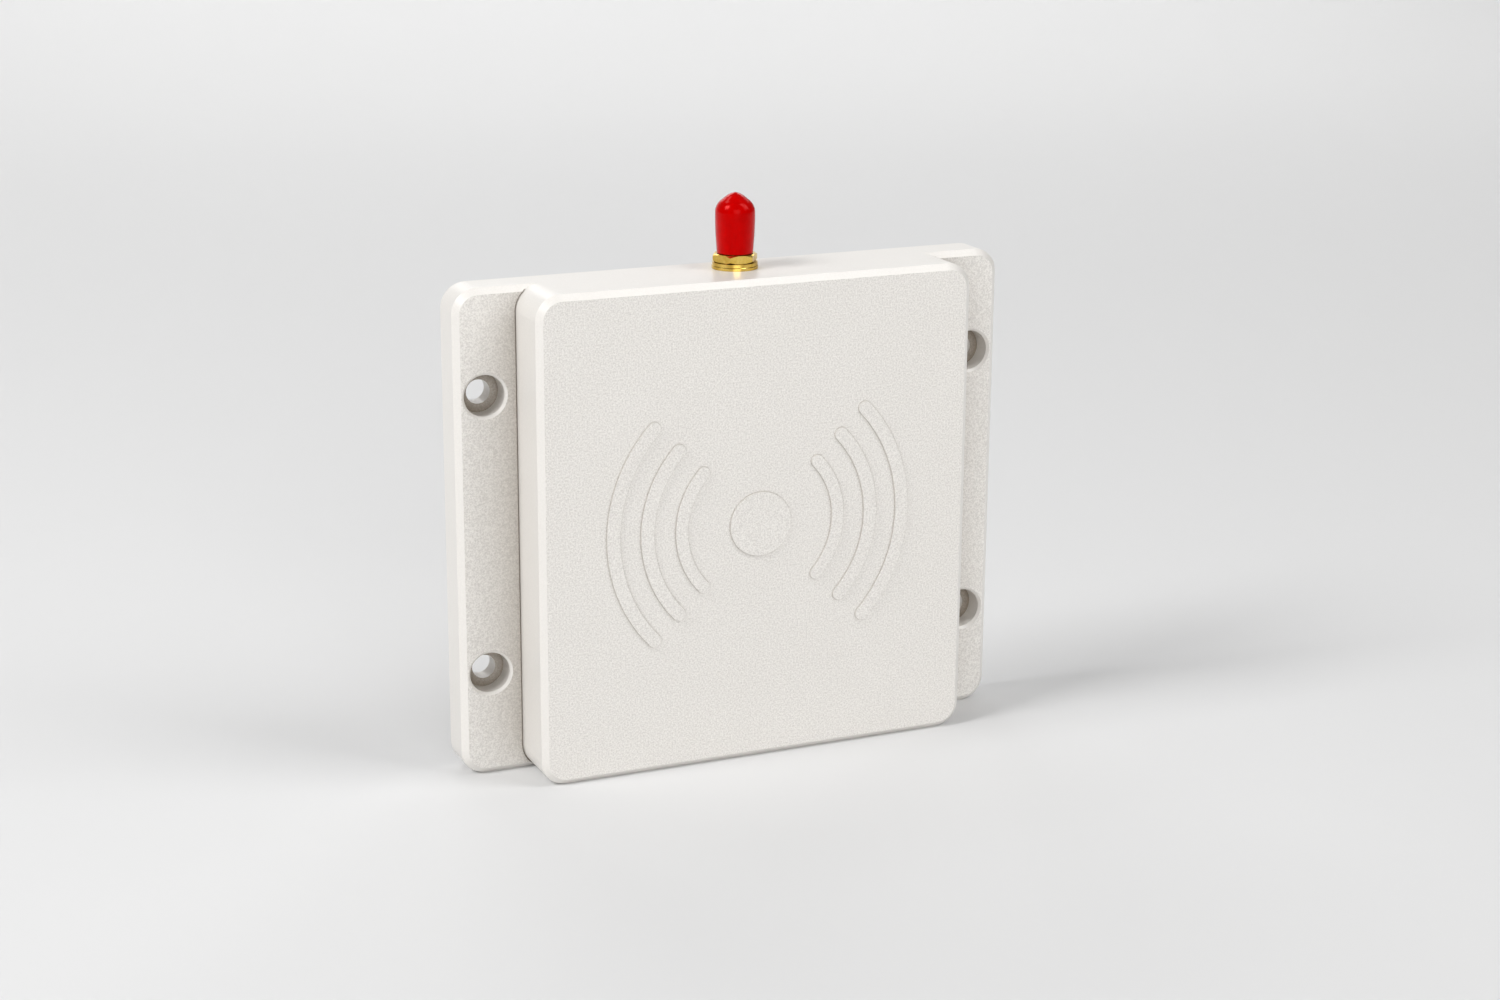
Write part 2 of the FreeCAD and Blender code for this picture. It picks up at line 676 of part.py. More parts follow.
def make_ground_plane():
    """The aluminium plate behind the patch, cut away for the corner bosses and the port."""
    body = new_body("ground_plane")
    plate = new_sketch(body, y=MIDDLE, lift="plane_lift")
    add_rectangle(plate, "plane_width", "plane_height")
    pad(body, plate, "plane_thickness")
    for sx in (-1, 1):
        for sz in (-1, 1):
            cut = new_sketch(body, x=f"{sx} * plane_width / 2", y=f"{MIDDLE} + {sz} * plane_height / 2",
                             lift="plane_lift")
            add_rounded_rectangle(cut, "2 * plane_corner_cut", "2 * plane_corner_cut", "plane_cut_radius")
            pocket(body, cut, "plane_thickness", upwards=True)
    cut = new_sketch(body, y=f"{MIDDLE} + plane_height / 2", lift="plane_lift")
    add_rounded_rectangle(cut, "plane_port_cut_width", "2 * plane_port_cut_height", "plane_cut_radius")
    pocket(body, cut, "plane_thickness", upwards=True)
    holes = [(x, z, "small_hole_radius") for x, z in PLANE_BOSS_PLACES]
    holes += [(x, z, "nylon_hole_radius") for x, z in SPACER_PLACES]
    holes += [("0", MIDDLE, "rivet_shank_radius"), ("0", FEED_HEIGHT, "feed_bush_radius")]
    for x, z, radius in holes:
        hole = new_sketch(body, x=x, y=z, lift="plane_lift")
        add_circle(hole, radius)
        pocket(body, hole, "plane_thickness", upwards=True)
    return body


def make_patch_plate():
    """The square radiating plate, with its spacer holes, its middle hole and its feed hole."""
    body = new_body("patch_plate")
    plate = new_sketch(body, y=MIDDLE, lift=PATCH_BACK)
    add_rounded_rectangle(plate, "patch_width", "patch_height", "patch_corner")
    pad(body, plate, "patch_thickness")
    holes = [(x, z, "nylon_hole_radius") for x, z in SPACER_PLACES]
    holes += [("0", MIDDLE, "rivet_shank_radius"), ("0", FEED_HEIGHT, "feed_pin_radius")]
    for x, z, radius in holes:
        hole = new_sketch(body, x=x, y=z, lift=PATCH_BACK)
        add_circle(hole, radius)
        pocket(body, hole, "patch_thickness", upwards=True)
    return body


def make_patch_spacers():
    """Round nylon sleeves that keep the patch off the ground plane."""
    sleeves = []
    for i, (x, z) in enumerate(SPACER_PLACES, start=1):
        body = new_body(f"patch_spacer_{i}")
        ring = new_sketch(body, x=x, y=z, lift=GROUND_FRONT)
        add_circle(ring, "spacer_radius")
        add_circle(ring, "nylon_hole_radius")
        pad(body, ring, "patch_gap")
        sleeves.append(body)
    return group("patch_spacers", sleeves)


def make_patch_screws():
    """Nylon screws from the front of the patch through the spacers and the ground plane."""
    length = "(patch_thickness + patch_gap + plane_thickness + nylon_nut_height + nylon_screw_end)"
    screws = []
    for i, (x, z) in enumerate(SPACER_PLACES, start=1):
        screw = make_pan_screw(f"patch_screw_{i}", x, f"{BACK_FACE} - {PATCH_FRONT}", z, length,
                               "nylon_screw_radius", "nylon_head_radius", "nylon_head_height")
        screw.Placement = Placement(screw.Placement.Base, Rotation(Vector(1, 0, 0), 90))
        screws.append(screw)
    return group("patch_screws", screws)


def make_patch_nuts():
    nuts = []
    for i, (x, z) in enumerate(SPACER_PLACES, start=1):
        body = new_body(f"patch_nut_{i}")
        ring = new_sketch(body, x=x, y=z, lift="plane_lift")
        add_hexagon(ring, "nylon_nut_flats")
        add_circle(ring, "nylon_screw_radius")
        pad(body, ring, "nylon_nut_height", downwards=True)
        nuts.append(body)
    return group("patch_nuts", nuts)


def make_centre_rivet():
    """A shouldered brass rivet: its post is the gap between patch and ground plane."""
    body = new_body("centre_rivet", y=f"{BACK_FACE} - plane_lift + rivet_head_height", z=MIDDLE)
    head = "rivet_head_height"
    plane = f"({head} + plane_thickness)"
    patch = f"({plane} + patch_gap)"
    front = f"({patch} + patch_thickness)"
    profile = new_sketch(body)
    add_profile(profile, [("0", "0"), ("rivet_top_radius", "0"),
                          ("rivet_head_radius", f"{head} - rivet_side_height"),
                          ("rivet_head_radius", head), ("rivet_shank_radius", head),
                          ("rivet_shank_radius", plane), ("rivet_post_radius", plane),
                          ("rivet_post_radius", patch), ("rivet_shank_radius", patch),
                          ("rivet_shank_radius", front), ("rivet_head_radius", front),
                          ("rivet_head_radius", f"{front} + rivet_side_height"),
                          ("rivet_top_radius", f"{front} + {head}"), ("0", f"{front} + {head}")])
    revolve(body, profile)
    body.Placement = Placement(body.Placement.Base, Rotation(Vector(1, 0, 0), 90))
    return body


# ---------------------------------------------------------------- feed

def make_feed_pin():
    """The pin that carries the signal through the ground plane to the patch."""
    body = new_body("feed_pin")
    pin = new_sketch(body, y=FEED_HEIGHT, lift="plane_lift - feed_pin_back")
    add_circle(pin, "feed_pin_radius")
    pad(body, pin, f"{PATCH_FRONT} + feed_pin_proud - plane_lift + feed_pin_back")
    return body


def make_feed_insulator():
    """A flanged PTFE bush that keeps the pin clear of the ground plane."""
    body = new_body("feed_insulator")
    sleeve = new_sketch(body, y=FEED_HEIGHT, lift="plane_lift")
    add_circle(sleeve, "feed_bush_radius")
    add_circle(sleeve, "feed_pin_radius")
    pad(body, sleeve, "plane_thickness")
    flange = new_sketch(body, y=FEED_HEIGHT, lift=GROUND_FRONT)
    add_circle(flange, "feed_bush_flange_radius")
    add_circle(flange, "feed_pin_radius")
    pad(body, flange, "feed_bush_flange_height")
    return body


def make_patch_solder():
    """A low cone of solder round the pin on the front of the patch."""
    body = new_body("patch_solder", y=f"{BACK_FACE} - {PATCH_FRONT}", z=FEED_HEIGHT)
    profile = new_sketch(body)
    add_profile(profile, [("feed_pin_radius", "0"), ("solder_radius", "0"),
                          ("solder_top_radius", "solder_height"), ("feed_pin_radius", "solder_height")])
    revolve(body, profile)
    body.Placement = Placement(body.Placement.Base, Rotation(Vector(1, 0, 0), 90))
    return body


# The lead leaves the port's stem straight down, swings past the rivet and comes
# back to the middle above the feed, all on the plane that the port's axis lies in.
STEM_END = f"({WALL_INSIDE} - port_flange_height - port_hex_height - port_neck_height - port_stem_height)"
JACKET_END = f"({FEED_HEIGHT} + bared_length)"
WIRE_END = f"({FEED_HEIGHT} + feed_pin_radius)"
BEND_SHARE = 0.45


def lead_points():
    top = number(STEM_END)
    end = number(JACKET_END)
    swing = number("cable_swing")
    return [Vector(0, 0, top), Vector(0, 0, top - number("lead_first_drop")),
            Vector(swing, 0, top - number("lead_swing_drop")),
            Vector(swing, 0, end + number("lead_return_rise")),
            Vector(0, 0, end + number("lead_last_rise")), Vector(0, 0, end)]


def rounded_path(points):
    """Straight runs joined by tangent arcs that take the same share of the shorter run at each corner."""
    edges = []
    start = points[0]
    for before, corner, after in zip(points, points[1:], points[2:]):
        back = before - corner
        ahead = after - corner
        turn = math.pi - back.getAngle(ahead)
        reach = BEND_SHARE * min(back.Length, ahead.Length)
        radius = reach / math.tan(turn / 2)
        print(f"lead bend radius {radius:.1f} mm")
        back.normalize()
        ahead.normalize()
        enter = corner + back * reach
        leave = corner + ahead * reach
        inward = back + ahead
        inward.normalize()
        middle = corner + inward * (radius / math.cos(turn / 2) - radius)
        edges.append(Part.LineSegment(start, enter).toShape())
        edges.append(Part.Arc(enter, middle, leave).toShape())
        start = leave
    edges.append(Part.LineSegment(start, points[-1]).toShape())
    return Part.Wire(edges)


def place_on_port_plane(feature):
    """Move a shape drawn on the XZ plane to the plane of the port's axis."""
    feature.Placement = Placement(Vector(0, number(f"{BACK_FACE} - {PORT_AXIS}"), 0), Rotation())
    return feature


def make_coax_cable():
    """The lead's jacket, whole, from the port's stem to just above the feed."""
    path = rounded_path(lead_points())
    radius = number("cable_radius")
    start = lead_points()[0]
    section = Part.Wire([Part.Circle(start, Vector(0, 0, -1), radius).toShape()])
    tube = path.makePipeShell([section], True, True)
    expected = math.pi * radius ** 2 * path.Length
    if abs(tube.Volume / expected - 1) > 0.01:
        raise RuntimeError("the lead's volume is wrong")
    feature = doc.addObject("Part::Feature", "coax_cable")
    feature.Label = "coax_cable"
    feature.Shape = tube.Solids[0] if tube.Solids else tube
    return place_on_port_plane(feature)


def make_cable_core():
    """The bared ends of the lead: insulation inside the stem, insulation and wire at the feed."""
    stem_core = Part.makeCylinder(number("core_radius"), number("port_stem_height + port_neck_height"),
                                  Vector(0, 0, number(STEM_END)))
    bared = number(f"{JACKET_END} - {WIRE_END}")
    insulation = number("bared_core_share") * bared
    low = number(JACKET_END) - insulation
    feed_core = Part.makeCylinder(number("core_radius"), insulation, Vector(0, 0, low))
    wire = Part.makeCylinder(number("wire_radius"), bared - insulation, Vector(0, 0, number(WIRE_END)))
    feature = doc.addObject("Part::Feature", "cable_core")
    feature.Label = "cable_core"
    feature.Shape = Part.makeCompound([stem_core, feed_core.fuse(wire)])
    return place_on_port_plane(feature)


def make_braid_solder():
    """A lump of solder that joins the lead's end to the back of the ground plane."""
    block = doc.addObject("Part::Box", "SolderBlock")
    bind(block, "Length", "braid_solder_width")
    bind(block, "Width", f"plane_lift - {PORT_AXIS} + braid_solder_rise")
    bind(block, "Height", "braid_solder_length")
    bind(block, "Placement.Base.x", "0 - braid_solder_width / 2")
    bind(block, "Placement.Base.y", f"{BACK_FACE} - plane_lift")
    bind(block, "Placement.Base.z", JACKET_END)
    core = doc.addObject("Part::Cylinder", "SolderHollow")
    bind(core, "Radius", "cable_radius")
    bind(core, "Height", "braid_solder_length")
    bind(core, "Placement.Base.y", f"{BACK_FACE} - {PORT_AXIS}")
    bind(core, "Placement.Base.z", JACKET_END)
    cut = doc.addObject("Part::Cut", "braid_solder")
    cut.Label = "braid_solder"
    cut.Base = block
    cut.Tool = core
    return cut


def make_cable_clip():
    """A nylon saddle over the lead, stuck to the ground plane by its two feet."""
    points = lead_points()
    height = (points[2].z + points[3].z) / 2
    radius = number("cable_radius")
    wall = number("clip_wall")
    width = number("clip_width")
    foot = number("clip_foot")
    reach = number(f"plane_lift - {PORT_AXIS}")
    outer = Part.makeCylinder(radius + wall, width)
    block = Part.makeBox(2 * (radius + wall), reach, width, Vector(-radius - wall, -reach, 0))
    feet = Part.makeBox(2 * (radius + wall + foot), wall, width, Vector(-radius - wall - foot, -reach, 0))
    hollow = Part.makeCylinder(radius, width)
    mouth = Part.makeBox(2 * radius, reach, width, Vector(-radius, -reach, 0))
    saddle = outer.fuse([block, feet]).removeSplitter().cut(hollow.fuse(mouth))
    far = 4 * (radius + wall + foot)
    below = Part.makeBox(far, far, width, Vector(-far / 2, -reach - far, 0))
    feature = doc.addObject("Part::Feature", "cable_clip")
    feature.Label = "cable_clip"
    feature.Shape = saddle.cut(below)
    base = Vector(number("cable_swing"), number(f"{BACK_FACE} - {PORT_AXIS}"), height - width / 2)
    feature.Placement = Placement(base, Rotation())
    return feature


def make_crimp_ferrule():
    """The sleeve crimped over the port's stem and the first stretch of the lead."""
    body = new_body("crimp_ferrule", y=f"{BACK_FACE} - {PORT_AXIS}",
                    z=f"{STEM_END} + port_stem_height - ferrule_length")
    ring = new_sketch(body, "XY_Plane")
    add_circle(ring, "ferrule_radius")
    add_circle(ring, "cable_radius")
    pad(body, ring, "ferrule_length")
    return body


# ---------------------------------------------------------------- port

PORT_Y = f"{BACK_FACE} - {PORT_AXIS}"
TAIL = "(port_flange_height + port_hex_height + port_neck_height + port_stem_height)"


def make_connector_body():
    """The socket: threaded barrel, flange and hexagon inside the wall, neck and crimp stem."""
    body = new_body("connector_body", y=PORT_Y, z=f"{WALL_INSIDE} - {TAIL}")
    stem = "port_stem_height"
    neck = f"({stem} + port_neck_height)"
    hexagon = f"({neck} + port_hex_height)"
    flange = f"({hexagon} + port_flange_height)"
    top = f"({flange} + barrel_length)"
    outer = [("core_radius", "0"), ("cable_radius", "0"), ("cable_radius", stem),
             ("port_neck_radius", stem), ("port_neck_radius", hexagon),
             ("port_flange_radius", hexagon), ("port_flange_radius", flange),
             ("barrel_radius", flange), ("barrel_radius", f"{top} - barrel_lead"),
             ("barrel_radius - barrel_lead", top)]
    inner = [("mouth_radius", top), ("mouth_radius", f"{top} - mouth_depth"),
             ("insulator_radius", f"{top} - mouth_depth"), ("insulator_radius", neck),
             ("core_radius", neck)]
    profile = new_sketch(body)
    add_profile(profile, outer + inner)
    revolve(body, profile)
    nut = new_sketch(body, "XY_Plane", lift=neck)
    add_hexagon(nut, "port_hex_flats")
    add_circle(nut, "(port_neck_radius + insulator_radius) / 2")
    pad(body, nut, "port_hex_height")

    groove = new_sketch(body)
    middle = f"({flange} - seal_cord_radius)"
    add_profile(groove, [("seal_ring_radius - seal_cord_radius", f"{middle} - seal_cord_radius"),
                         ("seal_ring_radius + seal_cord_radius", f"{middle} - seal_cord_radius"),
                         ("seal_ring_radius + seal_cord_radius", flange),
                         ("seal_ring_radius - seal_cord_radius", flange)])
    revolve(body, groove, "PartDesign::Groove")
    cut_thread(body, flange)
    flat = new_sketch(body, "XY_Plane", y="0 - barrel_flat - barrel_radius / 2", lift=flange)
    add_rectangle(flat, "2 * barrel_radius", "barrel_radius")
    pocket(body, flat, "barrel_length", upwards=True)
    return body


def cut_thread(body, flange):
    """Turned V grooves, one pitch apart, stand for the fine thread that the nut leaves bare."""
    groove = new_sketch(body)
    start = f"({flange} + thread_start)"
    groove_width = "thread_pitch * thread_groove_share"
    add_profile(groove, [("barrel_radius - thread_depth", f"{start} + {groove_width} / 2"),
                         ("barrel_radius + cutting_allowance", start),
                         ("barrel_radius + cutting_allowance", f"{start} + {groove_width}")])
    cut = revolve(body, groove, "PartDesign::Groove")
    pattern = body.newObject("PartDesign::LinearPattern", "Thread")
    pattern.Originals = [cut]
    axis = next(item for item in body.Origin.OriginFeatures if item.Role == "Z_Axis")
    pattern.Direction = (axis, [""])
    pattern.Mode = "Spacing"
    bind(pattern, "Offset", "thread_pitch")
    bind(pattern, "Occurrences", "thread_grooves")
    body.Tip = pattern
    doc.recompute()


def make_connector_insulator():
    body = new_body("connector_insulator", y=PORT_Y,
                    z=f"{WALL_INSIDE} - port_flange_height - port_hex_height")
    ring = new_sketch(body, "XY_Plane")
    add_circle(ring, "insulator_radius")
    add_circle(ring, "contact_radius")
    pad(body, ring, "port_flange_height + port_hex_height + barrel_length - mouth_depth")
    return body


def make_centre_contact():
    """The socket contact: a pin with a bore in its end, slit in two so that it springs."""
    body = new_body("centre_contact", y=PORT_Y, z=f"{WALL_INSIDE} - port_flange_height - port_hex_height")
    length = "(port_flange_height + port_hex_height + barrel_length - mouth_depth)"
    pin = new_sketch(body, "XY_Plane")
    add_circle(pin, "contact_radius")
    pad(body, pin, length)
    bore = new_sketch(body, "XY_Plane", lift=length)
    add_circle(bore, "contact_bore")
    pocket(body, bore, "contact_bore_depth")
    slit = new_sketch(body, "XY_Plane", lift=length)
    add_rectangle(slit, "contact_slit", "3 * contact_radius")
    pocket(body, slit, "contact_slit_depth")
    return body


def make_connector_o_ring():
    """The rubber ring in the flange's groove, against the inside of the wall."""
    body = new_body("connector_o_ring", y=PORT_Y, z=f"{WALL_INSIDE} - seal_cord_radius")
    section = new_sketch(body)
    index = section.addGeometry(
        Part.Circle(Vector(number("seal_ring_radius"), 0, 0), Vector(0, 0, 1), number("seal_cord_radius")))
    section.addConstraint(Sketcher.Constraint("PointOnObject", index, 3, -1))
    size_rule(section, "DistanceX", -1, 1, index, 3, formula="seal_ring_radius")
    size_rule(section, "Radius", index, formula="seal_cord_radius")
    revolve(body, section)
    return body


def make_flat_washer():
    body = new_body("flat_washer", y=PORT_Y, z="panel_height")
    ring = new_sketch(body, "XY_Plane")
    add_circle(ring, "washer_radius")
    add_circle(ring, "washer_hole_radius")
    pad(body, ring, "flat_washer_height")
    dress(body, "Chamfer", is_ring(number("washer_radius"), "Z", number("flat_washer_height")),
          "washer_chamfer")
    return body


def make_lock_washer():
    """A lock washer with a plain rim; teeth round its bore bite when the nut is tight."""
    body = new_body("lock_washer", y=PORT_Y, z="panel_height + flat_washer_height")
    ring = new_sketch(body, "XY_Plane")
    add_circle(ring, "lock_washer_radius")
    add_circle(ring, "washer_hole_radius")
    pad(body, ring, "lock_washer_height")
    notch = new_sketch(body, "XY_Plane", x="washer_hole_radius")
    add_rectangle(notch, "2 * notch_depth", "notch_width")
    cut = pocket(body, notch, "lock_washer_height", upwards=True)
    pattern = body.newObject("PartDesign::PolarPattern", "Teeth")
    pattern.Originals = [cut]
    axis = next(item for item in body.Origin.OriginFeatures if item.Role == "Z_Axis")
    pattern.Axis = (axis, [""])
    pattern.Angle = 360
    bind(pattern, "Occurrences", "notch_count")
    body.Tip = pattern
    doc.recompute()
    return body


def make_hex_nut():
    """The port's thin nut: a hexagon whose corners are turned off at both faces."""
    body = new_body("hex_nut", y=PORT_Y, z="panel_height + flat_washer_height + lock_washer_height")
    hexagon = new_sketch(body, "XY_Plane")
    add_hexagon(hexagon, "nut_flats")
    add_circle(hexagon, "barrel_radius")
    pad(body, hexagon, "nut_height")
    corner = "(nut_flats / sqrt(3))"
    edge = "(nut_flats / 2)"
    outside = f"{corner} + cutting_allowance"
    for low, high in (("0", "nut_bevel"), ("nut_height", "nut_height - nut_bevel")):
        turned = new_sketch(body)
        add_profile(turned, [(edge, low), (outside, low), (outside, high)])
        revolve(body, turned, "PartDesign::Groove")
    bind(body, "Placement.Rotation.Angle", "nut_turn * 1 deg")
    doc.recompute()
    return body


def make_dust_cap():
    """A soft cap with a pointed top; it slips over the bare thread and pulls off upwards."""
    body = new_body("dust_cap", y=PORT_Y, z=f"{NUT_TOP} + cap_gap")
    profile = new_sketch(body)
    add_profile(profile, [("cap_bore", "0"), ("cap_mouth_radius", "0"), ("cap_radius", "cap_waist_height"),
                          ("cap_radius", "cap_shoulder_height"), ("cap_tip_radius", "cap_tip_height"),
                          ("0", "cap_height"), ("0", "cap_dome_height"),
                          ("cap_dome_radius", "cap_dome_height"), ("cap_bore", "cap_bore_height")])
    revolve(body, profile)
    shoulder = is_ring(number("cap_radius"), "Z", number("cap_shoulder_height"))
    dress(body, "Fillet", shoulder, "cap_shoulder_round")
    tip = is_ring(number("cap_tip_radius"), "Z", number("cap_tip_height"))
    dress(body, "Fillet", tip, "cap_tip_round")
    return body


MAKERS = [
    make_front_housing, make_back_cover, make_back_gasket, make_cover_screws,
    make_ground_plane, make_ground_plane_screws, make_patch_plate, make_patch_spacers,
    make_patch_screws, make_patch_nuts, make_centre_rivet, make_feed_pin,
    make_feed_insulator, make_patch_solder, make_coax_cable, make_cable_core,
    make_braid_solder, make_cable_clip, make_crimp_ferrule, make_connector_body,
    make_connector_insulator, make_centre_contact, make_connector_o_ring, make_flat_washer,
    make_lock_washer, make_hex_nut, make_dust_cap,
]
parts = [maker() for maker in MAKERS]
doc.recompute()

for item in doc.Objects:
    if "Invalid" in item.State or "Error" in item.State:
        raise RuntimeError(f"{item.Label} has failed")
for part in parts:
    if part.Shape.isNull() or not part.Shape.isValid():
        raise RuntimeError(f"{part.Label} has no valid shape")

os.makedirs("parts", exist_ok=True)
for part in parts:
    part.Shape.exportStep(f"parts/{part.Label}.step")
    print(f"{part.Label}: {len(part.Shape.Solids)} solids, {part.Shape.Volume:.1f} mm3")
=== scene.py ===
# %% [markdown]
# # A flat panel antenna
# The real object is a small moulded box with a screw flange on each side. A patch
# radiator sits inside, and a gold-plated coax port stands on its top edge under a
# red cap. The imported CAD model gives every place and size, in metres, so this
# lesson only loads it, gives each surface its real finish, makes the few shapes
# that a lathe or a dipping former makes better than a CAD kernel, and lights it.

# %% Load the frame
import math

import bmesh
import bpy
from mathutils import Matrix, Vector


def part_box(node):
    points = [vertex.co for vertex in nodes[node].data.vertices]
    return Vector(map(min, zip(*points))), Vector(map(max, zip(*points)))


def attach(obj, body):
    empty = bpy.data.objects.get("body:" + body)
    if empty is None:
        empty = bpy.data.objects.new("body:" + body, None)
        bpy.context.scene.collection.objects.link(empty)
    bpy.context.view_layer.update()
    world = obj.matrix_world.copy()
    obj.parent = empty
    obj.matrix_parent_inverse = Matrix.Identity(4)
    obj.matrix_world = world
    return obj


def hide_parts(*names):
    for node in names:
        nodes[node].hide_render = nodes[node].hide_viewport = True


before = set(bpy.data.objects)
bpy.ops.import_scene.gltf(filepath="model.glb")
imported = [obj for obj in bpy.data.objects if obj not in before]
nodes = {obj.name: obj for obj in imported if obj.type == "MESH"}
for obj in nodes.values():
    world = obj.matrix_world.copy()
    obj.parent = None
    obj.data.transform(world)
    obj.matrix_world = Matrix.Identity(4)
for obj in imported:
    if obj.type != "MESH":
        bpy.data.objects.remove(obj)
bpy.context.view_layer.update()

# %% [markdown]
# ## Units and places
# Blender works in metres and the object was drawn in millimetres, so one constant
# converts between them. Places are read from the CAD nodes' boxes and never typed
# in, so the looks follow the design when it changes.

# %% Units and places
MM = 0.001
housing_low, housing_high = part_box("front_housing")
nut_low, nut_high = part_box("hex_nut")
cap_low, cap_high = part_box("dust_cap")
port_axis = (nut_low + nut_high) / 2
print("port axis at", round(port_axis.x / MM, 2), round(port_axis.y / MM, 2), "mm")

# %% [markdown]
# ## The camera
# The picture of such a product is taken with a portrait lens from half a metre
# away, from a little above and to the left of its front. A camera is easiest to
# place by the point it looks at, a direction and a distance. This one looks at the
# middle of the front face, a little off centre, and is rolled by under half a degree.

# %% Camera
VIEW_AZIMUTH = math.radians(-24.1)
VIEW_ELEVATION = math.radians(15.92)
VIEW_ROLL = math.radians(0.40)
VIEW_DISTANCE = 531.5 * MM
LENS = 64.55
SENSOR_WIDTH = 36
AIM_RIGHT = -2.05 * MM
AIM_UP = 4.65 * MM
BOX_DEPTH = 20 * MM
NEAREST, FARTHEST = 0.01, 20


def add_camera():
    backward = Vector((math.sin(VIEW_AZIMUTH) * math.cos(VIEW_ELEVATION),
                       -math.cos(VIEW_AZIMUTH) * math.cos(VIEW_ELEVATION),
                       math.sin(VIEW_ELEVATION)))
    level = Vector((0, 0, 1)).cross(backward).normalized()
    right = Matrix.Rotation(VIEW_ROLL, 3, backward) @ level
    up = backward.cross(right)
    face_middle = Vector((0, housing_high.y - BOX_DEPTH, (housing_low.z + housing_high.z) / 2))
    aim = face_middle + right * AIM_RIGHT + up * AIM_UP
    data = bpy.data.cameras.new("camera")
    data.lens = LENS
    data.sensor_width = SENSOR_WIDTH
    data.clip_start = NEAREST
    data.clip_end = FARTHEST
    camera = bpy.data.objects.new("camera", data)
    turn = Matrix((right, up, backward)).transposed().to_4x4()
    camera.matrix_world = Matrix.Translation(aim + backward * VIEW_DISTANCE) @ turn
    bpy.context.scene.collection.objects.link(camera)
    bpy.context.scene.camera = camera
    return camera


camera = add_camera()
print("camera at", [round(value / MM) for value in camera.matrix_world.translation], "mm")

# %% [markdown]
# ## Colours and nodes
# A colour picker shows sRGB, but light adds up in linear values, so every hex
# colour goes through one conversion. A second helper adds a shader node with its
# settings and links in one call: each input is given by name, as a value or as
# the output of another node.

# %% Colour and node helpers
def linear(hex_colour):
    channels = [int(hex_colour[i:i + 2], 16) / 255 for i in (1, 3, 5)]
    return tuple(c / 12.92 if c <= 0.04045 else ((c + 0.055) / 1.055) ** 2.4 for c in channels) + (1.0,)


def add_node(material, kind, inputs=None, **settings):
    """Add one node; inputs maps a socket's name or number to a value or to another node's output."""
    node = material.node_tree.nodes.new(kind)
    for name, value in settings.items():
        setattr(node, name, value)
    for name, value in (inputs or {}).items():
        if isinstance(value, bpy.types.NodeSocket):
            material.node_tree.links.new(value, node.inputs[name])
        else:
            node.inputs[name].default_value = value
    return node


def new_material(name):
    """An empty material with its Principled shader."""
    material = bpy.data.materials.new(name)
    material.use_nodes = True
    shader = material.node_tree.nodes["Principled BSDF"]
    return material, shader


def finish_nodes(material, *names):
    """Put a material on CAD nodes, as the one slot that each is left with."""
    for name in names:
        mesh = nodes[name].data
        mesh.materials.clear()
        mesh.materials.append(material)


print("#808080 is", round(linear("#808080")[0], 3), "in linear light")

# %% [markdown]
# ## What every surface is made of
# No real surface has one flat value. Each material here takes a noise, stretches
# its range, mixes two close tones with it, and lets the same noise drive the
# roughness and a shallow relief, so that all three change at the same spots. Each
# of these steps gets a helper, because every material repeats them.

# %% Surface helpers
def per_mm(size):
    """The scale of a noise or wave texture whose features are this many millimetres apart."""
    return 1 / (size * MM)


def noise(material, place, size, detail, roughness=0.5):
    """Noise whose features are about size millimetres apart."""
    return add_node(material, "ShaderNodeTexNoise", {"Vector": place, "Scale": per_mm(size), "Detail": detail,
                                                     "Roughness": roughness}).outputs["Fac"]


def stretch_range(material, value, low, high, to_low=0.0, to_high=1.0):
    """Stretch low..high to to_low..to_high, and clamp what lies outside."""
    return add_node(material, "ShaderNodeMapRange", {"Value": value, "From Min": low, "From Max": high,
                                                     "To Min": to_low, "To Max": to_high}).outputs[0]


def two_tone(material, factor, pale, deep):
    """Mix two close hex colours; factor 0 is deep and 1 is pale."""
    return add_node(material, "ShaderNodeMix", {"Factor": factor, "A": linear(deep), "B": linear(pale)},
                    data_type="RGBA").outputs["Result"]


def relief(material, height, strength, depth):
    """A bump that is depth millimetres deep."""
    return add_node(material, "ShaderNodeBump", {"Height": height, "Strength": strength,
                                                 "Distance": depth * MM}).outputs[0]


def join(material, shader, colour, roughness, bump):
    for output, name in ((colour, "Base Color"), (roughness, "Roughness"), (bump, "Normal")):
        material.node_tree.links.new(output, shader.inputs[name])


print("a feature of 1 mm needs a texture scale of", round(per_mm(1)))

# %% [markdown]
# ## Moulded ABS
# The housing and its back cover are injection-moulded ABS, pigmented a warm
# off-white. The mould is spark eroded on its flat front and back, which leaves a
# fine even grain that looks dry, while the narrow sides slide along polished steel
# and come out smoother. So the grain is strong where the surface faces along Y and
# weak elsewhere. The real grain is about 0.1 mm, and it is drawn three times as
# coarse here so that it shows. First comes what lies over the grain: the melt's flow
# leaves a very faint drift in tone, and an ambient occlusion factor paints a
# brownish shade into the colour of the grained surface in inner corners.

# %% Flow tone and painted corner shade on ABS
FLOW_SIZE = 14
FLOW_DRIFT = 0.96
# The reach and the brownish tone of the shade that ambient occlusion paints into inner corners.
PAINTED_CORNER_SHADE_REACH = 18.0
PAINTED_CORNER_SHADE_TONE = "#8f8476"


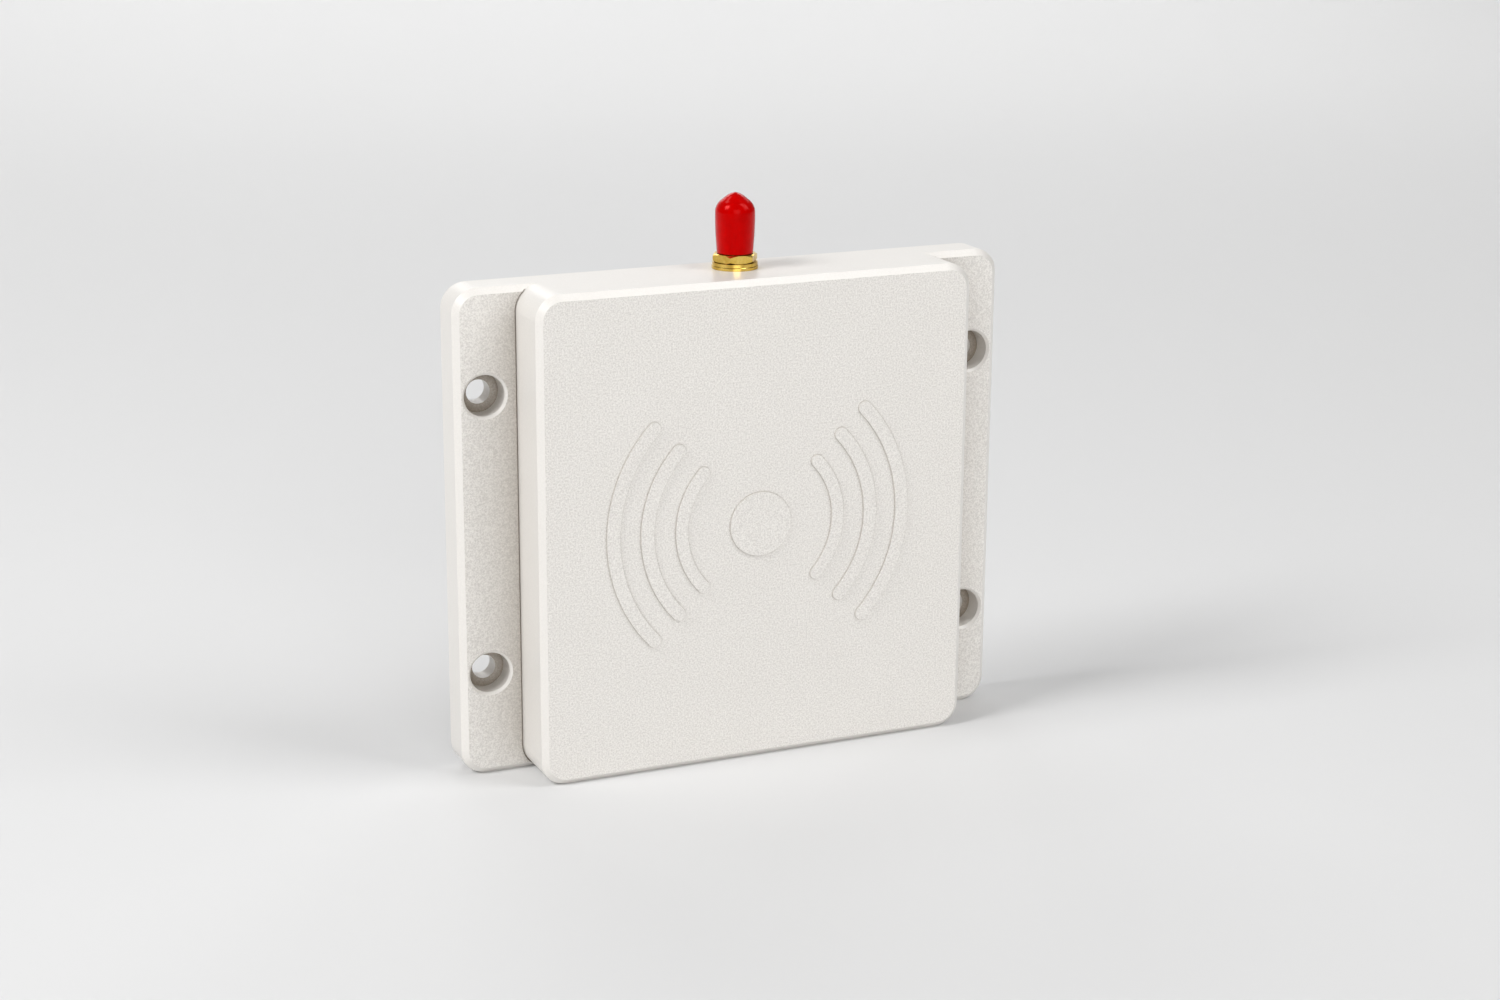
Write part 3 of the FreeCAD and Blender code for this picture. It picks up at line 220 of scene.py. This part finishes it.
def flow_tone_and_painted_corner_shade(material, place, eroded):
    """A tint for the colour: the flow's faint drift in tone, and painted shade, brownish in the corners of
    grained faces.
    """
    flow = noise(material, place, FLOW_SIZE, 1.0)
    drift = stretch_range(material, flow, 0, 1, FLOW_DRIFT, 1.0)
    # Painted shade: ambient occlusion darkens the colour in inner corners.
    painted_shade_occlusion = add_node(material, "ShaderNodeAmbientOcclusion", {"Distance": PAINTED_CORNER_SHADE_REACH * MM},
                       samples=32, only_local=True)
    unshaded_share = stretch_range(material, painted_shade_occlusion.outputs["AO"], 0.2, 0.9)
    unshaded_on_grain = add_node(material, "ShaderNodeMix", {"Factor": eroded, "A": 1.0, "B": unshaded_share})
    shade = add_node(material, "ShaderNodeMath", {0: drift, 1: unshaded_on_grain.outputs["Result"]}, operation="MULTIPLY")
    return add_node(material, "ShaderNodeMix", {"Factor": shade.outputs[0], "A": linear(PAINTED_CORNER_SHADE_TONE),
                                                "B": (1, 1, 1, 1)}, data_type="RGBA").outputs["Result"]


# The reach of the painted corner shade.
print("dust reaches", PAINTED_CORNER_SHADE_REACH, "mm out of a corner")

# %% [markdown]
# ## The ABS material
# The texture coordinates' Normal output is the direction of the surface in the
# object's own space, so its Y share tells the flat eroded faces from the smooth
# sides. It weighs the speckle, the relief and the roughness alike.

# %% ABS
GRAIN = 0.34
SIDE_GRAIN = 0.15
SIDE_ROUGHNESS, FACE_ROUGHNESS = 0.27, 0.50
PORE_ROUGHNESS = 0.12
ABS_IOR = 1.53


def moulded_abs(name, pale, deep, grain_depth):
    material, shader = new_material(name)
    texture = add_node(material, "ShaderNodeTexCoord")
    place = texture.outputs["Object"]
    axes = add_node(material, "ShaderNodeSeparateXYZ", {0: texture.outputs["Normal"]})
    facing = add_node(material, "ShaderNodeMath", {0: axes.outputs["Y"]}, operation="ABSOLUTE")
    eroded = stretch_range(material, facing.outputs[0], 0.8, 0.95, SIDE_GRAIN, 1.0)
    grain = noise(material, place, GRAIN, 2.0, 0.7)
    share = stretch_range(material, grain, 0.35, 0.65)
    spread = add_node(material, "ShaderNodeMix", {"Factor": eroded, "A": 0.5, "B": share})
    speckle = two_tone(material, spread.outputs["Result"], pale, deep)
    # The speckle is multiplied by the flow tone and by the painted corner shade.
    colour = add_node(material, "ShaderNodeMix", {"Factor": 1.0, "A": speckle,
                                                  "B": flow_tone_and_painted_corner_shade(material, place, eroded)},
                      data_type="RGBA", blend_type="MULTIPLY")
    dry = stretch_range(material, eroded, SIDE_GRAIN, 1.0, SIDE_ROUGHNESS, FACE_ROUGHNESS)
    pores = add_node(material, "ShaderNodeMath", {0: grain, 1: eroded}, operation="MULTIPLY")
    roughness = add_node(material, "ShaderNodeMath", {0: pores.outputs[0], 1: PORE_ROUGHNESS, 2: dry},
                         operation="MULTIPLY_ADD")
    join(material, shader, colour.outputs["Result"], roughness.outputs[0],
         relief(material, grain, eroded, grain_depth))
    shader.inputs["IOR"].default_value = ABS_IOR
    return material


housing_abs = moulded_abs("housing_moulded_abs", "#f1eee9", "#d5d1cc", 0.12)
cover_abs = moulded_abs("cover_moulded_abs", "#ebe7e1", "#d0cbc4", 0.12)
finish_nodes(housing_abs, "front_housing")
finish_nodes(cover_abs, "back_cover")
print("grain", GRAIN, "mm on the housing and the cover")

# %% [markdown]
# ## Gold plating
# The port, its washers and its nut are turned brass with a thin gold plating.
# Gold is a true metal: its colour is its reflection. The cutting tool leaves fine
# rings round the axis, drawn here as bands of slightly different roughness and a
# shallow bump, and handling leaves faint cloudy patches. An ambient occlusion
# factor paints shade into the colour in the seams between the nut and the washers.

# %% Gold
RING_SPACING = 0.12
WAVES_PER_UNIT = 20 / (2 * math.pi)
CLOUD_SIZE = 1.5
PAINTED_SEAM_SHADE_REACH = 0.4
PAINTED_SEAM_SHADE_DARKEST = 0.6


def turned_gold(name, pale, deep, roughness_low, roughness_high):
    material, shader = new_material(name)
    place = add_node(material, "ShaderNodeTexCoord").outputs["Object"]
    centred = add_node(material, "ShaderNodeMapping", {"Vector": place,
                                                      "Location": (-port_axis.x, -port_axis.y, 0)})
    rings = add_node(material, "ShaderNodeTexWave", {"Vector": centred.outputs[0],
                                                    "Scale": per_mm(RING_SPACING) / WAVES_PER_UNIT,
                                                    "Distortion": 0.4, "Detail": 2.0},
                     wave_type="RINGS", rings_direction="Z").outputs["Fac"]
    clouds = noise(material, place, CLOUD_SIZE, 3.0)
    colour = two_tone(material, stretch_range(material, clouds, 0.3, 0.7), pale, deep)
    # Painted shade: ambient occlusion darkens the colour in the seams and notches between the parts.
    painted_seam_shade_occlusion = add_node(material, "ShaderNodeAmbientOcclusion", {"Distance": PAINTED_SEAM_SHADE_REACH * MM}, samples=8)
    painted_seam_shade = stretch_range(material, painted_seam_shade_occlusion.outputs["AO"], 0.3, 0.8, PAINTED_SEAM_SHADE_DARKEST)
    colour_with_painted_seam_shade = add_node(material, "ShaderNodeVectorMath", {0: colour, "Scale": painted_seam_shade}, operation="SCALE")
    mix = add_node(material, "ShaderNodeMath", {0: rings, 1: clouds}, operation="ADD")
    roughness = stretch_range(material, mix.outputs[0], 0.4, 1.5, roughness_low, roughness_high)
    shader.inputs["Metallic"].default_value = 1.0
    join(material, shader, colour_with_painted_seam_shade.outputs[0], roughness, relief(material, rings, 0.25, 0.01))
    return material


port_gold = turned_gold("port_gold_plating", "#f6d674", "#deb650", 0.10, 0.24)
finish_nodes(port_gold, "connector_body", "flat_washer", "lock_washer", "hex_nut", "centre_contact",
             "crimp_ferrule", "feed_pin")
print("gold on the port, with rings", RING_SPACING, "mm apart")

# %% [markdown]
# ## Dipped vinyl
# The dust cap is made by dipping a steel former into liquid PVC and curing it. The
# skin is soft and glossy, with a faint orange peel where the liquid ran, and light
# goes a little way into it, so its red stays deep in its own shade. Its plasticiser
# keeps the mirror part of the gloss weak, and a little red.

# %% Vinyl
PEEL_SIZE, MIST_SIZE = 1.6, 0.4
PEEL_DEPTH = 0.05
VINYL_SETTINGS = {
    "IOR": 1.40, "Specular IOR Level": 0.45, "Specular Tint": linear("#ff5c5c"),
    "Subsurface Weight": 0.03, "Subsurface Radius": (1.0, 0.05, 0.05), "Subsurface Scale": 0.6 * MM,
}


def dipped_vinyl(name, pale, deep):
    material, shader = new_material(name)
    place = add_node(material, "ShaderNodeTexCoord").outputs["Object"]
    peel = noise(material, place, PEEL_SIZE, 2.0)
    mist = noise(material, place, MIST_SIZE, 2.0)
    colour = two_tone(material, stretch_range(material, peel, 0.3, 0.7), pale, deep)
    roughness = stretch_range(material, mist, 0, 1, 0.14, 0.21)
    join(material, shader, colour, roughness, relief(material, peel, 0.5, PEEL_DEPTH))
    for socket, value in VINYL_SETTINGS.items():
        shader.inputs[socket].default_value = value
    return material


cap_vinyl = dipped_vinyl("cap_dipped_vinyl", "#bc0000", "#b00000")
print("vinyl ready for the cap")

# %% [markdown]
# ## The dust cap's skin
# A dipped cap has no sharp edge anywhere: the liquid rounds its shoulder and its tip
# and leaves a rolled lip at its mouth. Its outline is drawn once as a chain of
# points from the lip to the tip and back down inside, each corner is rounded by a
# vertex bevel as wide as the real curve, and a full spin makes the shell. It stands
# in for the plain CAD cap, which stays for the physics.

# %% Cap skin
CAP_STEPS = 96
ROUNDING_SEGMENTS = 10
WELD = 0.001
cap_radius = (cap_high.x - cap_low.x) / 2 / MM
cap_height = (cap_high.z - cap_low.z) / MM


def spun_shell(name, outline, axis, base):
    """Spin an outline of (radius, height, rounding) points in millimetres round a vertical axis."""
    shape = bmesh.new()
    points = [shape.verts.new((radius, 0, height)) for radius, height, rounding in outline]
    for start, end in zip(points, points[1:]):
        shape.edges.new((start, end))
    for point, (radius, height, rounding) in zip(points, outline):
        if rounding:
            bmesh.ops.bevel(shape, geom=[point], offset=rounding, offset_type="OFFSET", affect="VERTICES",
                            segments=ROUNDING_SEGMENTS, profile=0.5, material=-1)
    bmesh.ops.spin(shape, geom=shape.verts[:] + shape.edges[:], cent=(0, 0, 0), axis=(0, 0, 1),
                   angle=2 * math.pi, steps=CAP_STEPS, use_merge=True)
    bmesh.ops.remove_doubles(shape, verts=shape.verts, dist=WELD)
    bmesh.ops.recalc_face_normals(shape, faces=shape.faces)
    bmesh.ops.scale(shape, verts=shape.verts, vec=(MM, MM, MM))
    bmesh.ops.translate(shape, verts=shape.verts, vec=(axis.x, axis.y, base))
    mesh = bpy.data.meshes.new(name)
    shape.to_mesh(mesh)
    shape.free()
    mesh.polygons.foreach_set("use_smooth", [True] * len(mesh.polygons))
    piece = bpy.data.objects.new(name, mesh)
    bpy.context.scene.collection.objects.link(piece)
    return piece


# radius, height above the lip and rounding of each corner, in millimetres
CAP_BORE = 3.225
CAP_OUTLINE = [
    (0, 9.5, 0),                       # middle of the inner dome
    (1.6, 9.5, 0.9),                   # rim of the inner dome
    (CAP_BORE, 7.8, 0.8),              # top of the bore
    (CAP_BORE, 0, 0.12),               # inside of the lip
    (3.6, 0, 0.12),                    # outside of the lip
    (3.68, 1.2, 0.8),                  # end of the lip's roll
    (cap_radius, 4.8, 2.0),            # waist
    (cap_radius, 9.4, 1.3),            # shoulder
    (1.1, cap_height - 0.3, 0.8),      # rim of the tip
    (0, cap_height - 0.08, 0),         # tip
]
cap_skin = spun_shell("cap_skin", CAP_OUTLINE, port_axis, cap_low.z)
cap_skin.data.materials.append(cap_vinyl)
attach(cap_skin, "cap")
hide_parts("dust_cap")
print("cap skin", round(2 * cap_radius, 2), "x", round(cap_height, 2), "mm,",
      len(cap_skin.data.polygons), "faces")

# %% [markdown]
# ## Sheet metal, screws and solder
# Rolling stretches a sheet's surface into long fine lines, so both plates use one
# noise that is stretched along their width. Zinc plating on steel screws is a bright
# blue-white with a satin cloud, and solder freezes with a slightly lumpy skin. They
# share one recipe for bare metal: two close tones, a roughness range and a shallow
# bump, all from the same noise.

# %% Bare metals
def bare_metal(name, pale, deep, feature, stretch, roughness_low, roughness_high, depth):
    material, shader = new_material(name)
    place = add_node(material, "ShaderNodeTexCoord").outputs["Object"]
    stretched = add_node(material, "ShaderNodeMapping", {"Vector": place, "Scale": (1 / stretch, 1, 1)})
    lines = noise(material, stretched.outputs[0], feature, 4.0, 0.6)
    colour = two_tone(material, stretch_range(material, lines, 0.3, 0.7), pale, deep)
    roughness = stretch_range(material, lines, 0.3, 0.7, roughness_high, roughness_low)
    shader.inputs["Metallic"].default_value = 1.0
    join(material, shader, colour, roughness, relief(material, lines, 0.6, depth))
    return material


# name, pale, deep, feature in mm, stretch, roughness from and to, depth in mm, CAD nodes
BARE_METALS = [
    ("plane_rolled_aluminium", "#dfe0e1", "#cfd1d2", 0.3, 40, 0.25, 0.42, 0.01, ["ground_plane"]),
    ("patch_rolled_brass", "#ddb768", "#cba254", 0.3, 40, 0.22, 0.38, 0.01,
     ["patch_plate", "centre_rivet"]),
    ("screw_zinc_plating", "#d3d8dc", "#bcc0c2", 0.6, 1, 0.22, 0.40, 0.02,
     ["cover_screws", "ground_plane_screws"]),
    ("joint_solder", "#d2d2ce", "#b9b9b5", 0.9, 1, 0.18, 0.45, 0.08, ["patch_solder", "braid_solder"]),
]
for *recipe, names in BARE_METALS:
    finish_nodes(bare_metal(*recipe), *names)
print("bare metals on plates, screws and solder")

# %% [markdown]
# ## Nylon, PTFE, rubber and the lead's jacket
# The small insulating pieces are plastics without gloss paint. Natural nylon is a
# milky ivory that lets light in, PTFE is whiter and waxy, moulded rubber is nearly
# black and dull, and the lead's jacket is a glossy brown fluoropolymer. They share
# one recipe too, since they differ in colour, in depth of light and in gloss.

# %% Soft plastics
GLOW_DEPTH = 0.5


def soft_plastic(name, pale, deep, feature, roughness_low, roughness_high, depth, glow, ior):
    material, shader = new_material(name)
    place = add_node(material, "ShaderNodeTexCoord").outputs["Object"]
    mottle = noise(material, place, feature, 3.0)
    colour = two_tone(material, stretch_range(material, mottle, 0.3, 0.7), pale, deep)
    roughness = stretch_range(material, mottle, 0.3, 0.7, roughness_low, roughness_high)
    join(material, shader, colour, roughness, relief(material, mottle, 0.5, depth))
    shader.inputs["IOR"].default_value = ior
    shader.inputs["Subsurface Weight"].default_value = glow
    shader.inputs["Subsurface Scale"].default_value = GLOW_DEPTH * MM
    return material


# name, pale, deep, feature in mm, roughness from and to, depth in mm, glow, IOR, CAD nodes
SOFT_PLASTICS = [
    ("natural_nylon", "#ece7d6", "#e2dbc6", 0.8, 0.34, 0.48, 0.02, 0.2, 1.53,
     ["patch_spacers", "patch_screws", "patch_nuts", "cable_clip"]),
    ("skived_ptfe", "#f4f4f0", "#e8e8e3", 0.5, 0.30, 0.44, 0.02, 0.2, 1.38,
     ["feed_insulator", "connector_insulator", "cable_core"]),
    ("moulded_rubber", "#232324", "#1a1a1b", 0.3, 0.55, 0.75, 0.03, 0.0, 1.52,
     ["back_gasket", "connector_o_ring"]),
    ("jacket_fep", "#93512a", "#7c421f", 1.2, 0.16, 0.28, 0.02, 0.1, 1.35, ["coax_cable"]),
]
for *recipe, names in SOFT_PLASTICS:
    finish_nodes(soft_plastic(*recipe), *names)
print("soft plastics on the insulators, the seals and the lead")

# %% [markdown]
# ## The floor
# A product picture is taken on a pale sweep of paper: a floor that curves up into
# a wall, so that no horizon shows. One edge is extruded along the curve's stops.

# %% Sweep
SWEEP_HALF_WIDTH = 3.0
SWEEP_FRONT = -2.5
BEND_START = 0.9
BEND_RADIUS = 0.8
BEND_STEPS = 16
WALL_TOP = 3.0
PAPER = "#d8d8d8"
PAPER_ROUGHNESS = 0.7


def paper_sweep():
    """A floor whose back edge bends up into a wall, made by extruding one edge along its curve."""
    mesh = bpy.data.meshes.new("sweep")
    shape = bmesh.new()
    ends = [shape.verts.new((side * SWEEP_HALF_WIDTH, SWEEP_FRONT, 0)) for side in (-1, 1)]
    edge = shape.edges.new(ends)
    stops = [Vector((0, BEND_START, 0))]
    for step in range(1, BEND_STEPS + 1):
        angle = math.pi / 2 * step / BEND_STEPS
        stops.append(Vector((0, BEND_START + BEND_RADIUS * math.sin(angle),
                             BEND_RADIUS * (1 - math.cos(angle)))))
    stops.append(Vector((0, BEND_START + BEND_RADIUS, WALL_TOP)))
    place = Vector((0, SWEEP_FRONT, 0))
    for stop in stops:
        grown = bmesh.ops.extrude_edge_only(shape, edges=[edge])["geom"]
        edge = next(item for item in grown if isinstance(item, bmesh.types.BMEdge))
        bmesh.ops.translate(shape, verts=edge.verts, vec=stop - place)
        place = stop
    bmesh.ops.recalc_face_normals(shape, faces=shape.faces)
    shape.to_mesh(mesh)
    shape.free()
    mesh.polygons.foreach_set("use_smooth", [True] * len(mesh.polygons))
    sweep = bpy.data.objects.new("sweep", mesh)
    bpy.context.scene.collection.objects.link(sweep)
    material, shader = new_material("sweep_paper")
    shader.inputs["Base Color"].default_value = linear(PAPER)
    shader.inputs["Roughness"].default_value = PAPER_ROUGHNESS
    mesh.materials.append(material)
    return sweep


sweep = paper_sweep()
print("paper sweep of", len(sweep.data.polygons), "faces")

# %% [markdown]
# ## Soft boxes
# The room is dark, so that gold and vinyl mirror the soft boxes. The key stands on
# the left and throws the long shadow. The front box lights the face, and the two on
# the right soften the shadows; the higher of them is what the upper bevel mirrors. A
# weak one draws the back edges, and two more keep the paper bright far behind.

# %% Soft boxes
PANEL_MIDDLE = Vector((0, 0, 0.05))
WORLD_STRENGTH = 0.1


def from_object(azimuth, elevation, distance):
    """A place seen from the middle of the panel; azimuth 0 is in front, and 90 is on the right."""
    turn = math.radians(azimuth)
    rise = math.radians(elevation)
    return PANEL_MIDDLE + distance * Vector((math.sin(turn) * math.cos(rise),
                                             -math.cos(turn) * math.cos(rise), math.sin(rise)))


def soft_box(name, place, target, size, power):
    """A square area light at a place, turned towards a target."""
    data = bpy.data.lights.new(name, "AREA")
    data.shape = "SQUARE"
    data.size = size
    data.energy = power
    lamp = bpy.data.objects.new(name, data)
    direction = Vector(target) - Vector(place)
    lamp.rotation_mode = "QUATERNION"
    lamp.rotation_quaternion = direction.to_track_quat("-Z", "Y")
    lamp.location = place
    bpy.context.scene.collection.objects.link(lamp)
    return lamp


# name, azimuth, elevation, distance in metres, size in metres, power in watts
PANEL_LAMPS = [
    ("key", -83, 43, 1.3, 0.5, 12.0),
    ("fill", 50, 60, 1.3, 0.4, 2.6),
    ("right", 54, 38, 1.6, 0.7, 6.6),
    ("front", -12, 16, 1.6, 0.95, 10.6),
    ("edge", -150, 58, 1.3, 0.25, 0.6),
]
for name, azimuth, elevation, distance, size, power in PANEL_LAMPS:
    soft_box(name, from_object(azimuth, elevation, distance), PANEL_MIDDLE, size, power)

# name, place along X and Y in metres, size in metres, power in watts; both hang at one height
PAPER_LAMP_HEIGHT = 0.95
PAPER_LAMPS = [("rear_middle", 0.1, 1.35, 0.7, 5.0), ("rear_right", 1.0, 1.1, 0.7, 5.4)]
for name, x, y, size, power in PAPER_LAMPS:
    soft_box(name, (x, y, PAPER_LAMP_HEIGHT), (x, y, 0), size, power)

world = bpy.data.worlds.new("studio")
bpy.context.scene.world = world
world.use_nodes = True
world.node_tree.nodes["Background"].inputs["Color"].default_value = (1, 1, 1, 1)
world.node_tree.nodes["Background"].inputs["Strength"].default_value = WORLD_STRENGTH
bpy.context.scene.view_settings.view_transform = "Standard"
print(len(PANEL_LAMPS) + len(PAPER_LAMPS), "soft boxes")
